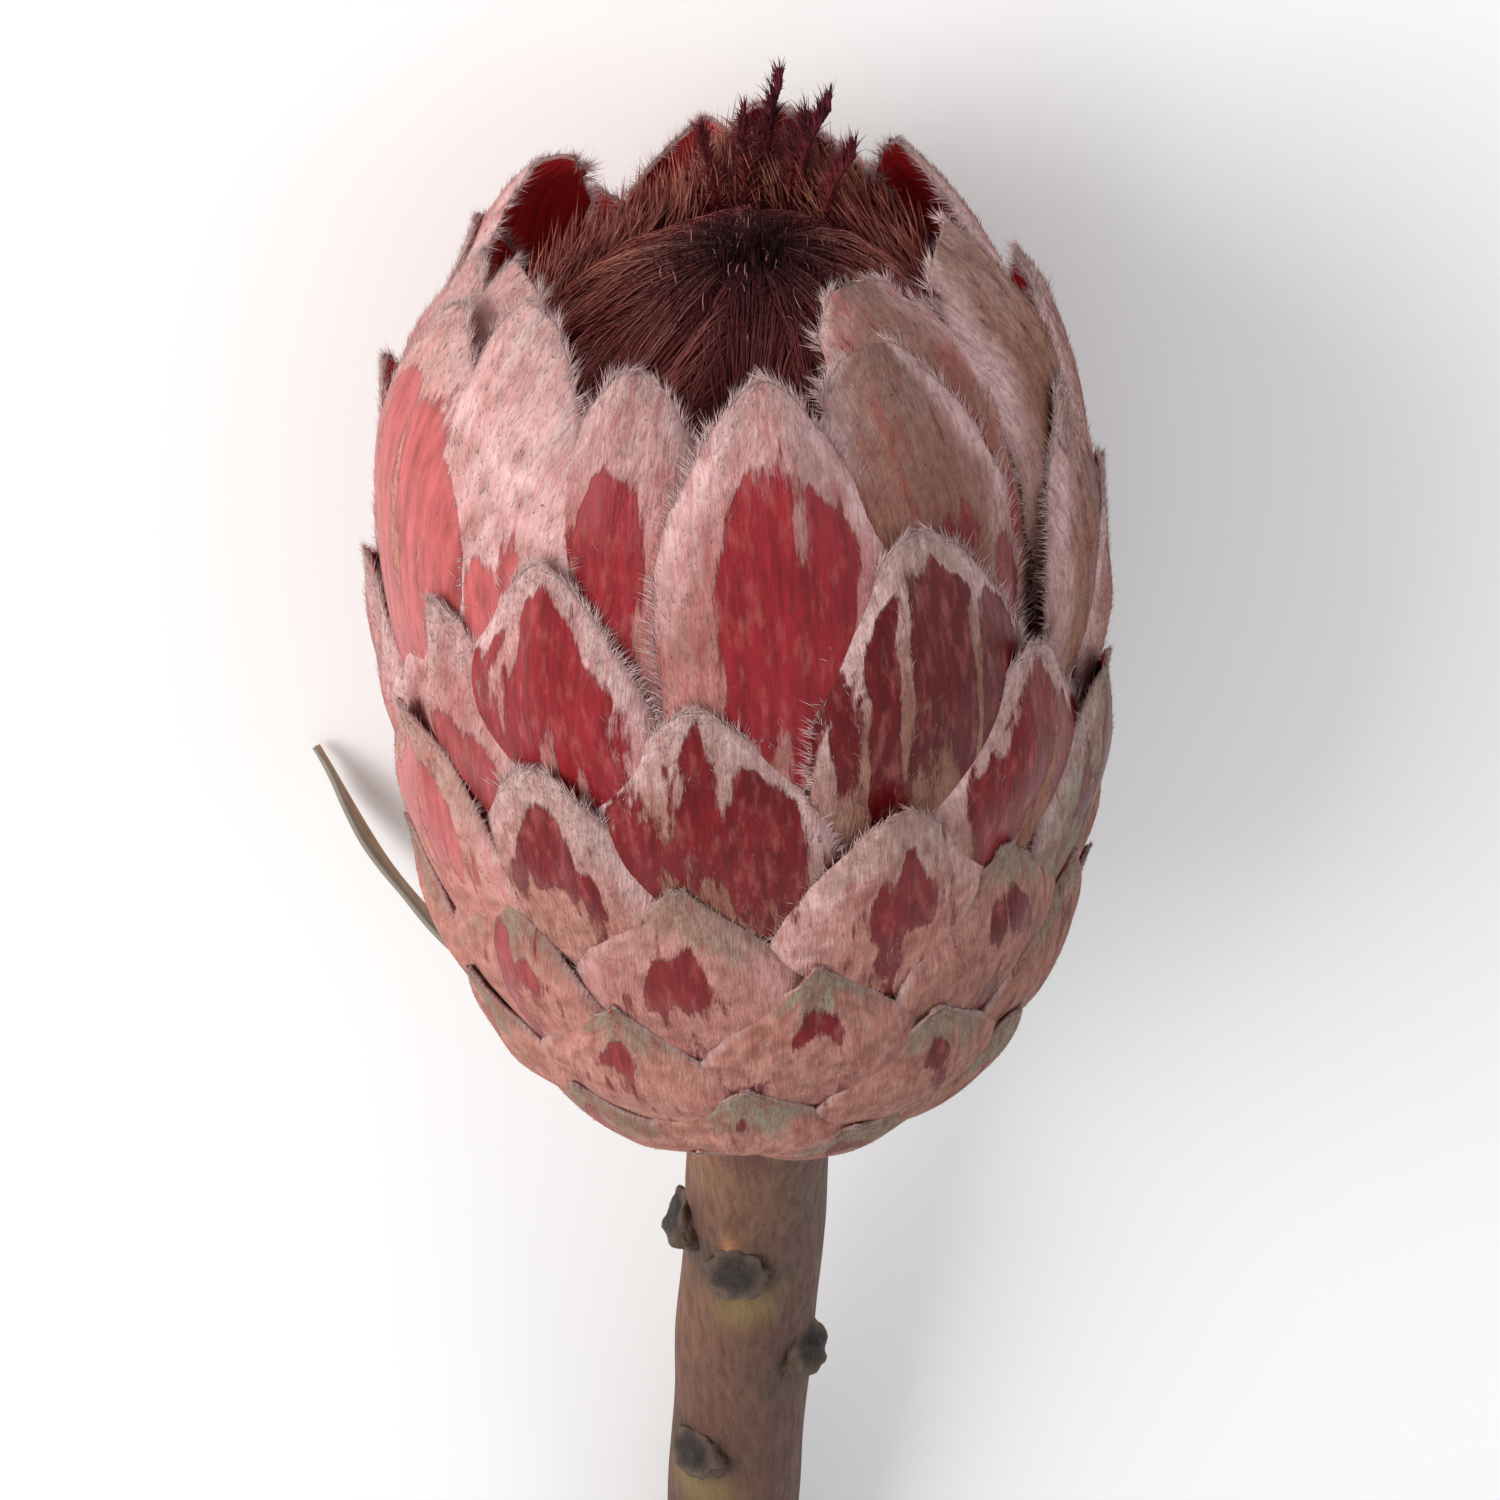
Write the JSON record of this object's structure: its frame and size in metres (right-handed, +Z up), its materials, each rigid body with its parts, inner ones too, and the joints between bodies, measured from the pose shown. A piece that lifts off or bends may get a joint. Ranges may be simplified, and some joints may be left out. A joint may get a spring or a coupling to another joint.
{
  "type": "protea flower",
  "caption": "Cut protea bloom lying on its side: a cup of shingled red bracts round dark florets, on a bare woody stem with one narrow leaf.",
  "frame": {"origin": "middle of the bounding box, on the surface the flower lies on", "axes": "+Z up; +Y along the flower, from the mouth of the bloom to the cut end of the stem"},
  "size_m": [0.074, 0.242, 0.0649],
  "materials": {
    "bract": "matte",
    "base_scale": "matte",
    "floret": "matte",
    "bark": "matte",
    "leaf": "matte"
  },
  "bodies": {
    "root": {"bract_01": "bract", "bract_02": "bract", "bract_03": "bract", "bract_04": "bract", "bract_05": "bract", "bract_06": "bract", "bract_07": "bract", "bract_08": "bract", "bract_09": "bract", "bract_10": "bract", "bract_11": "bract", "bract_12": "bract", "bract_13": "bract", "bract_14": "bract", "bract_15": "bract", "bract_16": "bract", "bract_17": "bract", "bract_18": "bract", "bract_19": "bract", "bract_20": "bract", "bract_21": "bract", "bract_22": "bract", "bract_23": "bract", "bract_24": "bract", "bract_25": "bract", "bract_26": "bract", "bract_27": "bract", "bract_28": "bract", "bract_29": "bract", "bract_30": "bract", "bract_31": "bract", "bract_32": "bract", "bract_33": "bract", "bract_34": "bract", "bract_35": "bract", "bract_36": "bract", "bract_37": "bract", "bract_38": "bract", "bract_39": "bract", "bract_40": "bract", "bract_41": "bract", "bract_42": "bract", "bract_43": "bract", "bract_44": "bract", "bract_45": "bract", "bract_46": "bract", "bract_47": "bract", "bract_48": "bract", "bract_49": "bract", "bract_50": "bract", "receptacle_and_scales": "base_scale", "florets": "floret", "stem": "bark", "leaf": "leaf"}
  },
  "joints": []
}
